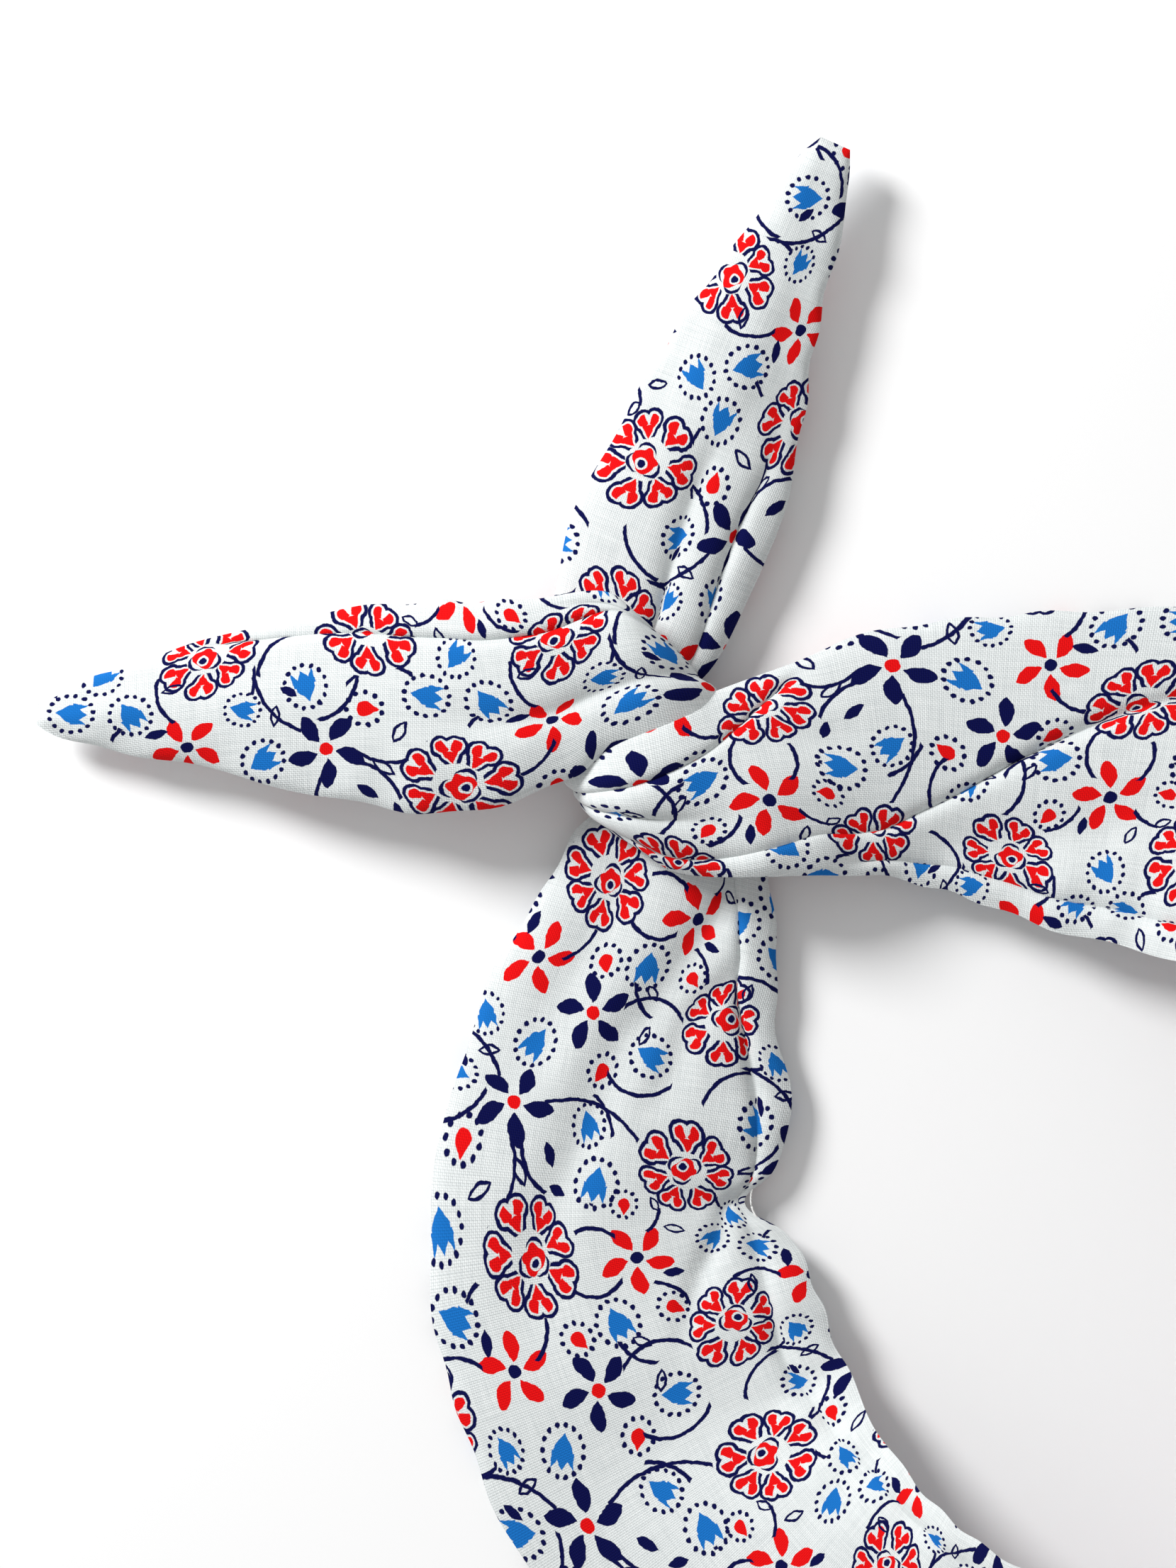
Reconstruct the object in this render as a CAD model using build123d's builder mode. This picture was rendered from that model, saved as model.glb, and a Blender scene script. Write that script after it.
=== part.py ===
from build123d import *

import math
import os
from collections import namedtuple

# Knotted wire headband: a sewn cotton tube with one soft wire in it.
#
# The tube runs from the tip of the left ear through the knot, down the lower band, round the
# back of the loop, along the right band, through the knot again and out to the tip of the upper
# ear. It lies on a table: +Z is up, and the origin is the middle of the loop on the table.
# Each stretch between two bends is a front panel, a back panel, a length of wire and the two
# rows of seam thread, and it ends short of the next one by the room that the bend needs.

# Cloth and wire
FULL_HALF = 36.0  # half the tube's width, pressed flat, at its widest
WALL = 0.8  # one panel with the seam allowance that lies against it
SEAM = 1.2  # how far in from the edge the two panels are sewn together
WIRE_R = 0.65
TAPE_R = 1.25  # outside radius of the tape over the wire's closed end
TAPE_CLEAR = 0.03
TAPE_LENGTH = 6.0
TAPE_SHORT = 1.5  # the tape begins this far in from the eye
EYE_R = 2.3  # the wire's end is bent into an eye, so that it can't poke through
THREAD_R = 0.18
THREAD_IN = 4.0  # the seam thread lies this far in from the tube's edge

# The knot: two strands that go once round each other
KNOT = Vector(-80.6, 92.6, 15.0)  # middle of the twist
KNOT_LENGTH = 50.0  # along the twist's axis
KNOT_SPREAD = 12.0  # how far each strand stands from the axis, seen from above
KNOT_RISE = 8.5  # and seen from the side
KNOT_HALF = 9.5  # half the gathered width where a strand lies over or under the other
KNOT_BUNCH = 1.5  # how much narrower it is half way round
KNOT_THICK = 9.6

# The back of the loop is an arc about the origin, its inner edge raised so that it slopes like a hat's brim
BACK_FROM, BACK_TO = 207.5, 438.5  # degrees from +X
BACK_R = 83.0
BACK_THICK = 7.0

# Bends, and how far the cloth stops short of each on either side
EAR_GAP = 2.9
TIP_GAP = 2.4
BACK_GAP = 3.2
BACK_BEND = Vector(-45.0, 45.0, 0.0)  # a point below the line that the back bends on

# The gap that the tube was turned out through, sewn shut over its upper edge at the middle of the back
CLOSING_STITCHES = 9
STITCH_OVER = 1.6  # how far in from the edge a stitch goes through
STITCH_PROUD = 0.35  # and how far it stands off the edge

STEPS = 3  # sections drawn from one station to the next
SQUARE = math.sqrt(0.5)
TWIST_AXIS = Vector(-SQUARE, SQUARE, 0)  # from the loop to the ears
TWIST_SIDE = Vector(SQUARE, SQUARE, 0)

Station = namedtuple("Station", "centre half thick roll")


def at(x, y, z, half, thick, roll=0.0):
    """A cross section of the tube. Roll turns its front panel from up towards the loop's outside."""
    return Station(Vector(x, y, z), half, thick, roll)


def twist(t, side, roll):
    """A section of one strand in the knot. t runs from 0 at the loop to 1 at the ears."""
    turn = 2 * math.pi * t
    across = TWIST_SIDE * (side * KNOT_SPREAD * math.cos(turn))
    rise = Vector(0, 0, side * KNOT_RISE * math.sin(turn))
    centre = KNOT + TWIST_AXIS * ((t - 0.5) * KNOT_LENGTH) + across + rise
    bunch = math.sin(math.pi * t) ** 4
    return Station(centre, KNOT_HALF - KNOT_BUNCH * bunch, KNOT_THICK, roll)


def back(k):
    """A section of the back of the loop, k from 0 at the lower band to 1 at the right band."""
    swell = math.sin(math.pi * k)
    angle = math.radians(BACK_FROM + (BACK_TO - BACK_FROM) * k)
    radius = BACK_R + 3 * k + 2 * swell
    lean = 6 + 6 * k + 44 * swell
    half = FULL_HALF - 0.6 - 2.4 * k * k
    tilt = math.radians(lean)
    height = half * math.sin(tilt) + BACK_THICK / 2 * math.cos(tilt)
    return at(radius * math.cos(angle), radius * math.sin(angle), height, half, BACK_THICK, lean)


LEFT_EAR_TIP = [
    at(-190.6, 96.2, 6.2, 2.4, 2.6, 180),
    at(-186.4, 96.2, 6.4, 4.4, 4.0, 180),
    at(-181.0, 96.5, 6.7, 6.3, 5.2, 180),
    at(-170.0, 97.4, 7.5, 8.8, 6.4, 180),
    at(-158.0, 98.2, 8.6, 12.2, 7.2, 180),
    at(-146.3 - TIP_GAP, 98.3, 9.8, 14.6, 7.6, 180),
]
LEFT_EAR = [
    at(-146.3 + TIP_GAP, 98.3, 10.4, 15.6, 7.8, 180),
    at(-130.0, 98.0, 12.6, 18.2, 8.2, 180),
    at(-117.0, 97.7, 14.6, 19.4, 8.6, 180),
    at(-106.8 - EAR_GAP, 98.0, 16.0, 19.6, 9.0, 180),
]
LEFT_EAR_ROOT = [
    at(-106.8 + EAR_GAP, 98.8, 17.6, 18.4, 9.2, 180),
    at(-96.5, 98.2, 21.5, 11.5, KNOT_THICK, 180),
]
LOWER_BAND = [
    at(-75.2, 69.2, 4.6, 15.5, 8.8),
    at(-78.4, 56.0, 3.9, 23.0, 7.8),
    at(-82.0, 40.0, 3.6, 27.8, 7.4),
    at(-84.4, 24.0, 3.4, 30.6, 7.2),
    at(-87.2, 8.0, 3.4, 31.6, 7.2),
    at(-85.6, -8.0, 3.5, 33.4, 7.2, 2),
    at(-81.0, -22.0, 4.4, 34.6, 7.2, 4),
]
RIGHT_BAND = [
    at(-2.0, 86.6, 5.6, 29.0, 7.4, 8),
    at(-19.0, 88.8, 5.4, 25.0, 7.8, 5),
    at(-35.0, 89.2, 7.0, 22.0, 8.2, 2),
    at(-49.0, 87.4, 11.0, 19.2, 8.8),
    at(-60.0, 85.6, 19.0, 13.0, 9.2),
]
UPPER_EAR_ROOT = [
    at(-82.6, 110.5, 5.0, 13.0, 9.0, -180),
    at(-75.9 - 0.384 * EAR_GAP, 126.2 - 0.923 * EAR_GAP, 5.0, 17.2, 8.6, -180),
]
UPPER_EAR = [
    at(-75.9 + 0.384 * EAR_GAP, 126.2 + 0.923 * EAR_GAP, 5.4, 17.4, 8.4, -180),
    at(-69.6, 141.0, 6.0, 16.6, 8.0, -180),
    at(-64.6, 154.6, 6.6, 14.6, 7.6, -180),
    at(-60.6 - 0.4 * TIP_GAP, 165.2 - 0.917 * TIP_GAP, 7.0, 12.8, 7.2, -180),
]
UPPER_EAR_TIP = [
    at(-60.6 + 0.4 * TIP_GAP, 165.2 + 0.917 * TIP_GAP, 7.2, 11.9, 7.0, -180),
    at(-55.4, 176.4, 7.5, 9.4, 6.4, -180),
    at(-50.4, 187.6, 7.6, 7.4, 5.6, -180),
    at(-46.6, 195.8, 7.6, 5.2, 4.2, -180),
    at(-44.4, 200.6, 7.6, 2.8, 2.6, -180),
]

# Each strand's own way through the knot, from the loop's side to the ears' side
OVER, UNDER = 1, -1
turns = [(0.25 + 0.125 * k, 45.0 * k) for k in range(5)]
right_twist = [twist(t, OVER, -roll) for t, roll in turns]
left_twist = [twist(t, UNDER, roll) for t, roll in reversed(turns)]
back_arc = [back(k / 14) for k in range(15)]

# The lower and right bands and the back all run on past the line that the back bends on, and are cut there
TUBE = [
    ("left_ear_tip", LEFT_EAR_TIP),
    ("left_ear", LEFT_EAR),
    ("lower_band", LEFT_EAR_ROOT + left_twist + LOWER_BAND),
    ("back_band", back_arc),
    ("right_band", RIGHT_BAND + right_twist + UPPER_EAR_ROOT),
    ("upper_ear", UPPER_EAR),
    ("upper_ear_tip", UPPER_EAR_TIP),
]


TIPS = ("left_ear_tip", "upper_ear_tip")


def eased(values, spans, i, t):
    """A smooth value at t from station i to the next; spans are the distances between stations."""
    last = len(values) - 1
    before, after = max(i - 1, 0), min(i + 2, last)
    gap_before = spans[before] if before < i else 0
    gap_after = spans[i + 1] if after > i + 1 else 0
    slope_in = (values[i + 1] - values[before]) * (spans[i] / (spans[i] + gap_before))
    slope_out = (values[after] - values[i]) * (spans[i] / (spans[i] + gap_after))
    start, end = values[i], values[i + 1]
    to_start, to_end = 2 * t**3 - 3 * t**2 + 1, 3 * t**2 - 2 * t**3
    return start * to_start + end * to_end + slope_in * (t**3 - 2 * t**2 + t) + slope_out * (t**3 - t**2)


def plane_at(station, along):
    """x across the tube, y out through the front panel, z along the tube."""
    up = (Vector(0, 0, 1) - along * along.Z).normalized()
    roll = math.radians(station.roll)
    out = up * math.cos(roll) + along.cross(up) * math.sin(roll)
    return Plane(origin=station.centre, x_dir=out.cross(along), z_dir=along)


def sections_between(first, last):
    """Sections every few millimetres from one station of the whole tube to another, with their planes."""
    stations = [s for _, group in TUBE for s in group]
    centres = [s.centre for s in stations]
    spans = [(b - a).length for a, b in zip(centres, centres[1:])]
    steps = [(i, k / STEPS) for i in range(first, last) for k in range(STEPS)] + [(last - 1, 1.0)]
    sections = []
    for i, t in steps:
        values = [eased([s[field] for s in stations], spans, i, t) for field in range(4)]
        sections.append(Station(*values))
    planes = []
    for i, section in enumerate(sections):
        along = sections[min(i + 1, len(sections) - 1)].centre - sections[max(i - 1, 0)].centre
        planes.append(plane_at(section, along.normalized()))
    return list(zip(sections, planes))


def stretch(name, ends=(0, 0)):
    """The sections of one stretch, short of its first and last stations by the counts in ends."""
    first = 0
    for other, stations in TUBE:
        if other == name:
            break
        first += len(stations)
    last = first + len(stations) - 1
    return sections_between(first + ends[0], last - ends[1])


# The three stretches of the loop run on past the line that the back bends on, and are cut there
PAST = 2
LOOP = {"lower_band": (0, -PAST), "back_band": (-PAST, -PAST), "right_band": (-PAST, 0)}


def cut_plane(name):
    """The upright plane that a stretch of the loop is cut by, facing the side that is kept."""
    away = Vector(SQUARE, -SQUARE, 0)  # from the knot to the back
    if name == "back_band":
        return Plane(origin=BACK_BEND + away * BACK_GAP, z_dir=away)
    return Plane(origin=BACK_BEND - away * BACK_GAP, z_dir=away * -1)


def panel(name, side):
    """One panel of a stretch, a crescent in section. side is 1 for the front and -1 for the back."""
    with BuildPart() as cloth:
        for section, plane in stretch(name, LOOP.get(name, (0, 0))):
            half = section.half
            rise = side * section.thick / 2
            with BuildSketch(plane):
                with BuildLine():
                    ThreePointArc((-half, 0), (0, rise), (half, 0))
                    Line((half, 0), (half - SEAM, 0))
                    ThreePointArc((half - SEAM, 0), (0, rise - side * WALL), (SEAM - half, 0))
                    Line((SEAM - half, 0), (-half, 0))
                make_face()
        loft(ruled=True)
        if name in LOOP:
            split(bisect_by=cut_plane(name), keep=Keep.TOP)
            split(bisect_by=Plane.XY, keep=Keep.TOP)
    return cloth.part


def kept_points(name, points):
    """The points of a cord on the kept side of a loop stretch's cut, and where it meets the cut."""
    if name not in LOOP:
        return points
    plane = cut_plane(name)
    depths = [(p - plane.origin).dot(plane.z_dir) for p in points]
    kept = []
    for i, depth in enumerate(depths):
        if i and (depth > 0) != (depths[i - 1] > 0):
            share = depths[i - 1] / (depths[i - 1] - depth)
            kept.append(points[i - 1] + (points[i] - points[i - 1]) * share)
        if depth > 0:
            kept.append(points[i])
    return kept


def cord_through(points, radius):
    """A round cord along straight runs joined by arcs as large as the runs allow."""
    corners = [points[0]]
    for point, after in zip(points[1:-1], points[2:]):
        if (point - corners[-1]).get_angle(after - point) > 1.0 and (point - corners[-1]).length > 1.0:
            corners.append(point)
    corners.append(points[-1])
    radii = []
    for a, b, c in zip(corners, corners[1:], corners[2:]):
        turn = math.radians((b - a).get_angle(c - b))
        radii.append(0.45 * min((b - a).length, (c - b).length) / math.tan(turn / 2))
    with BuildPart() as cord:
        with BuildLine() as route:
            if radii:
                FilletPolyline(*corners, radius=radii)
            else:
                Line(*corners)
        with BuildSketch(Plane(origin=route.line @ 0, z_dir=route.line % 0)):
            Circle(radius)
        sweep(path=route.line)
    return cord.part


def ends_for(name):
    """How many stations a cord stays short by at each end: the cloth closes up towards the ears' tips."""
    return {"left_ear_tip": (2, 0), "upper_ear_tip": (0, 2)}.get(name, LOOP.get(name, (0, 0)))


def seam_thread(name):
    """The two rows of thread inside the tube, one along each edge."""
    rows = []
    for side in (-1, 1):
        points = []
        for section, plane in stretch(name, ends_for(name)):
            inset = max(section.half - THREAD_IN, 0.5 * section.half)
            points.append(plane.from_local_coords(Vector(side * inset, 0, 0)))
        rows.append(cord_through(kept_points(name, points), THREAD_R))
    return Compound(children=rows)


def tip_end(name):
    """The plane across the wire where its eye begins, facing out through the tip."""
    sections = stretch(name, ends_for(name))
    if name == "left_ear_tip":
        sections.reverse()
    inner, outer = sections[0][0].centre, sections[-1][0].centre
    outward = (outer - inner).normalized()
    return Plane(origin=outer - outward * 2 * EYE_R, x_dir=sections[-1][1].x_dir, z_dir=outward)


def wire(name):
    """The wire along the middle of one stretch. In a tip it is straight and closes in an eye."""
    points = [section.centre for section, _ in stretch(name, ends_for(name))]
    if name not in TIPS:
        return cord_through(kept_points(name, points), WIRE_R)
    end = tip_end(name)
    inner = points[-1] if name == "left_ear_tip" else points[0]
    with BuildPart() as run:
        add(cord_through([inner, end.origin], WIRE_R))
        with Locations(Plane(origin=end.origin + end.z_dir * EYE_R, x_dir=end.x_dir, z_dir=end.y_dir)):
            Torus(EYE_R, WIRE_R)
    return run.part


def tape(name):
    """Tape wound round the wire just inside its eye."""
    end = tip_end(name)
    with BuildPart() as wrap:
        with BuildSketch(end.offset(-TAPE_SHORT - TAPE_LENGTH)):
            Circle(TAPE_R)
            Circle(WIRE_R + TAPE_CLEAR, mode=Mode.SUBTRACT)
        extrude(amount=TAPE_LENGTH)
    return wrap.part


def closing_stitches():
    """A row of short stitches over the back's upper edge."""
    sections = stretch("back_band")
    middle = len(sections) // 2
    stitches = []
    for k in range(CLOSING_STITCHES):
        section, plane = sections[middle + k - CLOSING_STITCHES // 2]
        inset = section.half - STITCH_OVER
        above = section.thick / 2 * (1 - (inset / section.half) ** 2) + THREAD_R + 0.05
        with BuildPart() as stitch:
            with BuildLine(Plane(origin=plane.origin, x_dir=plane.x_dir, z_dir=plane.z_dir)) as route:
                ThreePointArc((inset, above), (section.half + STITCH_PROUD, 0), (inset, -above))
            with BuildSketch(Plane(origin=route.line @ 0, z_dir=route.line % 0)):
                Circle(THREAD_R)
            sweep(path=route.line)
        stitches.append(stitch.part)
    return Compound(children=stitches)


os.makedirs("parts", exist_ok=True)
nodes = {"closing_stitches": closing_stitches()}
for name, _ in TUBE:
    nodes[f"{name}_front_panel"] = panel(name, 1)
    nodes[f"{name}_back_panel"] = panel(name, -1)
    nodes[f"{name}_seam_thread"] = seam_thread(name)
    nodes[f"{name}_wire"] = wire(name)
for name in TIPS:
    nodes[f"{name}_wire_tape"] = tape(name)
for label, shape in nodes.items():
    shape.label = label
    export_step(shape, f"parts/{label}.step")
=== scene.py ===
"""Looks of the knotted headband: one printed cotton tube, laid in a loop and knotted into two ears."""

import math

import bpy
import numpy as np
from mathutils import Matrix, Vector


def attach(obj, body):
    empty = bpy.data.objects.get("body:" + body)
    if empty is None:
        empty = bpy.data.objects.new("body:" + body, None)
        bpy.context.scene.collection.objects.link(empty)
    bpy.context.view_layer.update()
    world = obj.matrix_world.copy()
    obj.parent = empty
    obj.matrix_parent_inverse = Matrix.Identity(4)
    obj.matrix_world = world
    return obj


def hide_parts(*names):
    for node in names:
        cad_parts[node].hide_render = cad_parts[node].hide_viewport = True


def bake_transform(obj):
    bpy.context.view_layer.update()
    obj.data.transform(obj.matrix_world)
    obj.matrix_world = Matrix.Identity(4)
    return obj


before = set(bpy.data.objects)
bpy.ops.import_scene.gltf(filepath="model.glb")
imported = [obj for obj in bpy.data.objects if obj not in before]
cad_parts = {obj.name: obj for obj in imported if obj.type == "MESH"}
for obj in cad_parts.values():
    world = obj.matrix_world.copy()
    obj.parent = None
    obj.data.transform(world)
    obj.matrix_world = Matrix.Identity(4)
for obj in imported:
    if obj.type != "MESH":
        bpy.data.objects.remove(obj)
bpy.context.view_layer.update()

MM = 0.001

# ---------------------------------------------------------------------------------------------
# The tube's route, in millimetres, from the left ear's tip round the loop to the upper ear's tip

FULL_HALF = 36.0  # half the cloth tube's width where it is widest, pressed flat
CROWN = 0.62  # how full the tube's section is: 0.5 is an ellipse, and more is thinner towards the edges
SQUARE = math.sqrt(0.5)

# The back of the loop
BACK_ROUND = (207.5, 231.0)  # where it starts, in degrees round the loop, and how far round it goes
BACK_RADIUS = (83, 86, 2)  # at the lower band, at the right band, and how much more half way round
BACK_LEAN = (6, 12, 44)  # the same for its lean in degrees
BACK_THICK = 6.4
BACK_NARROWER = (1.2, 2.4)  # less than FULL_HALF at the lower band, and how much more at the right band
TABLE_ROOM = (0.5, 0.35)  # left under the band for the cloth's waves, and how much less half way round


def back(k):
    """A station at the back of the loop, k from 0 at the lower band to 1 at the right band."""
    swell = math.sin(math.pi * k)
    angle = math.radians(BACK_ROUND[0] + BACK_ROUND[1] * k)
    radius, lean = ((b - a) * k + a + more * swell for a, b, more in (BACK_RADIUS, BACK_LEAN))
    half = FULL_HALF - BACK_NARROWER[0] - BACK_NARROWER[1] * k * k
    tilt = math.radians(lean)
    u = np.linspace(0, 1, 60)
    section = BACK_THICK / 2 * np.clip(1 - u * u, 0, 1) ** CROWN
    lowest = np.max(half * u * math.sin(tilt) + section * math.cos(tilt))
    height = lowest + TABLE_ROOM[0] - TABLE_ROOM[1] * swell
    return (radius * math.cos(angle), radius * math.sin(angle), height, half, BACK_THICK, lean, FULL_HALF)


# x, y, z, half the width as it lies, thickness, roll in degrees, half the width it was cut to
LEFT_EAR = [
    (-190.4, 96.4, 6.4, 1.9, 2.6, 180, 2.1),
    (-188.0, 96.3, 6.4, 3.2, 3.4, 180, 3.6),
    (-181.0, 96.6, 6.7, 6.0, 5.0, 180, 6.8),
    (-170.0, 97.4, 7.5, 8.9, 6.2, 180, 10.5),
    (-158.0, 98.1, 8.6, 12.0, 7.0, 180, 14.4),
    (-146.3, 98.3, 10.1, 15.0, 7.4, 180, 18.0),
    (-130.0, 98.0, 12.4, 18.0, 7.8, 180, 21.4),
    (-117.0, 97.6, 14.4, 19.3, 8.0, 180, 22.0),
    (-106.8, 98.6, 15.6, 18.4, 8.4, 180, 22.2),
    (-97.5, 101.0, 16.0, 16.8, 8.6, 180, 22.0),
]
LOWER_BAND = [
    (-74.6, 69.6, 4.9, 18.6, 8.4, 0, 25.0),
    (-76.7, 58.5, 4.4, 22.2, 8.0, 0, 27.6),
    (-81.0, 45.5, 4.1, 26.0, 7.6, 0, 30.2),
    (-82.6, 31.0, 4.0, 30.0, 7.4, 0, 32.6),
    (-85.0, 19.5, 3.9, 30.8, 7.2, 0, 33.8),
    (-87.4, 7.0, 3.9, 31.2, 7.2, 0, 34.8),
    (-85.2, -7.0, 4.0, 33.8, 7.0, 2, 35.6),
    (-80.4, -21.5, 4.8, 34.7, 6.8, 4, 36.0),
]
RIGHT_BAND = [
    (-2.0, 86.4, 6.4, 29.6, 7.0, 8, 34.4),
    (-19.0, 88.6, 6.0, 25.8, 7.6, 5, 32.4),
    (-35.0, 89.0, 7.4, 22.8, 8.0, 4, 29.0),
    (-49.0, 86.6, 10.4, 19.8, 8.4, 6, 26.6),
    (-62.0, 83.6, 13.6, 17.6, 8.6, 8, 23.8),
]
UPPER_EAR = [
    (-82.4, 110.5, 5.2, 15.6, 8.6, -180, 21.8),
    (-75.9, 126.2, 5.2, 17.9, 8.2, -180, 21.8),
    (-69.6, 141.0, 5.8, 16.9, 7.8, -180, 20.6),
    (-64.4, 154.6, 6.4, 14.6, 7.4, -180, 17.4),
    (-60.6, 165.2, 7.0, 12.4, 7.0, -180, 14.6),
    (-55.4, 176.4, 7.3, 9.6, 6.2, -180, 11.2),
    (-50.4, 187.6, 7.4, 7.4, 5.4, -180, 8.4),
    (-46.4, 196.4, 7.5, 4.9, 4.0, -180, 5.4),
    (-44.6, 200.4, 7.5, 2.9, 2.8, -180, 3.2),
]
# In the knot each strand is a ribbon folded over on itself, so these stations give the section's own
# directions: x, y, z, half, thickness, heading of its width in plan, how far its width slopes up, how far it
# has turned over, half the width it was cut to. The first strand comes up through the loop and folds over to
# the left
LEFT_KNOT = [
    (-88.0, 103.6, 15.6, 15.0, 8.6, -84, 4, 180, 21.8),
    (-79.0, 104.6, 15.2, 13.0, 8.8, -70, 4, 165, 21.4),
    (-71.4, 101.0, 9.8, 11.5, 8.4, -45, 0, 90, 20.4),
    (-70.2, 92.0, 5.0, 10.4, 8.4, -22, 0, 12, 20.6),
    (-70.8, 81.5, 4.6, 13.4, 8.4, -12, 0, 0, 22.0),
]
# The second crosses over it, folds under at the left and comes out below the left ear
RIGHT_KNOT = [
    (-74.0, 81.8, 14.6, 14.6, 8.8, -82, -7, 0, 21.8),
    (-83.0, 81.4, 14.4, 11.6, 9.2, -70, -7, 18, 20.4),
    (-89.6, 84.0, 9.6, 9.6, 9.0, -56, 0, 90, 19.4),
    (-90.4, 93.5, 4.9, 10.4, 8.4, -34, 0, 168, 19.4),
    (-86.6, 102.0, 4.8, 12.8, 8.4, -22, 0, 180, 20.4),
]
LOOP = [back(k / 14) for k in range(15)]
PARTS = [LEFT_EAR, LEFT_KNOT, LOWER_BAND, LOOP, RIGHT_BAND, RIGHT_KNOT, UPPER_EAR]
ROUTE = sum(PARTS, [])

RING = 1.5  # spacing of the mesh along the tube
ACROSS = 60  # faces across one panel


def sections():
    """Centre, half width, thickness, cut, direction of the width and of the front panel, at each station."""
    centres = np.array([station[:3] for station in ROUTE])
    along = np.gradient(centres, axis=0)
    along /= np.linalg.norm(along, axis=1)[:, None]
    rows = []
    for station, ahead in zip(ROUTE, along):
        *_, cut = station
        if len(station) == 7:
            roll = math.radians(station[5])
            up = np.array([0.0, 0.0, 1.0]) - ahead * ahead[2]
            up /= np.linalg.norm(up)
            out = up * math.cos(roll) + np.cross(ahead, up) * math.sin(roll)
            width = np.cross(out, ahead)
        else:
            heading, slope, turned = (math.radians(v) for v in station[5:8])
            width = np.array(
                [math.cos(heading) * math.cos(slope), math.sin(heading) * math.cos(slope), math.sin(slope)]
            )
            up = np.array([0.0, 0.0, 1.0]) - width * width[2]
            up /= np.linalg.norm(up)
            out = up * math.cos(turned) + np.cross(width, up) * math.sin(turned)
        rows.append([*station[:5], cut, *width, *out])
    return np.array(rows)


SECTIONS = sections()


def smooth_route():
    """The route at even spacing: a Hermite curve through its stations, slopes scaled by their distances."""
    points = SECTIONS[:, :3]
    gaps = np.linalg.norm(np.diff(points, axis=0), axis=1)
    s = np.concatenate([[0], np.cumsum(gaps)])
    slopes = np.empty_like(SECTIONS)
    slopes[0] = (SECTIONS[1] - SECTIONS[0]) / gaps[0]
    slopes[-1] = (SECTIONS[-1] - SECTIONS[-2]) / gaps[-1]
    slopes[1:-1] = (SECTIONS[2:] - SECTIONS[:-2]) / (s[2:] - s[:-2])[:, None]
    count = int(s[-1] / RING) + 1
    at = np.linspace(0, s[-1], count)
    i = np.clip(np.searchsorted(s, at, side="right") - 1, 0, len(gaps) - 1)
    h = gaps[i][:, None]
    t = ((at - s[i]) / gaps[i])[:, None]
    value = (
        SECTIONS[i] * (2 * t**3 - 3 * t**2 + 1)
        + SECTIONS[i + 1] * (3 * t**2 - 2 * t**3)
        + slopes[i] * h * (t**3 - 2 * t**2 + t)
        + slopes[i + 1] * h * (t**3 - t**2)
    )
    return s, at, value


station_s, ring_s, rings = smooth_route()


def s_of(part, index):
    """How far along the tube one of a part's stations is."""
    start = 0
    for other in PARTS:
        if other is part:
            break
        start += len(other)
    return station_s[start + index % len(part)]


def directions():
    """The direction of the width and of the front panel at each ring."""
    width, out = rings[:, 6:9].copy(), rings[:, 9:12].copy()
    width /= np.linalg.norm(width, axis=1)[:, None]
    out -= width * np.sum(out * width, axis=1)[:, None]
    return width, out / np.linalg.norm(out, axis=1)[:, None]


WIDTH, OUT = directions()

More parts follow.
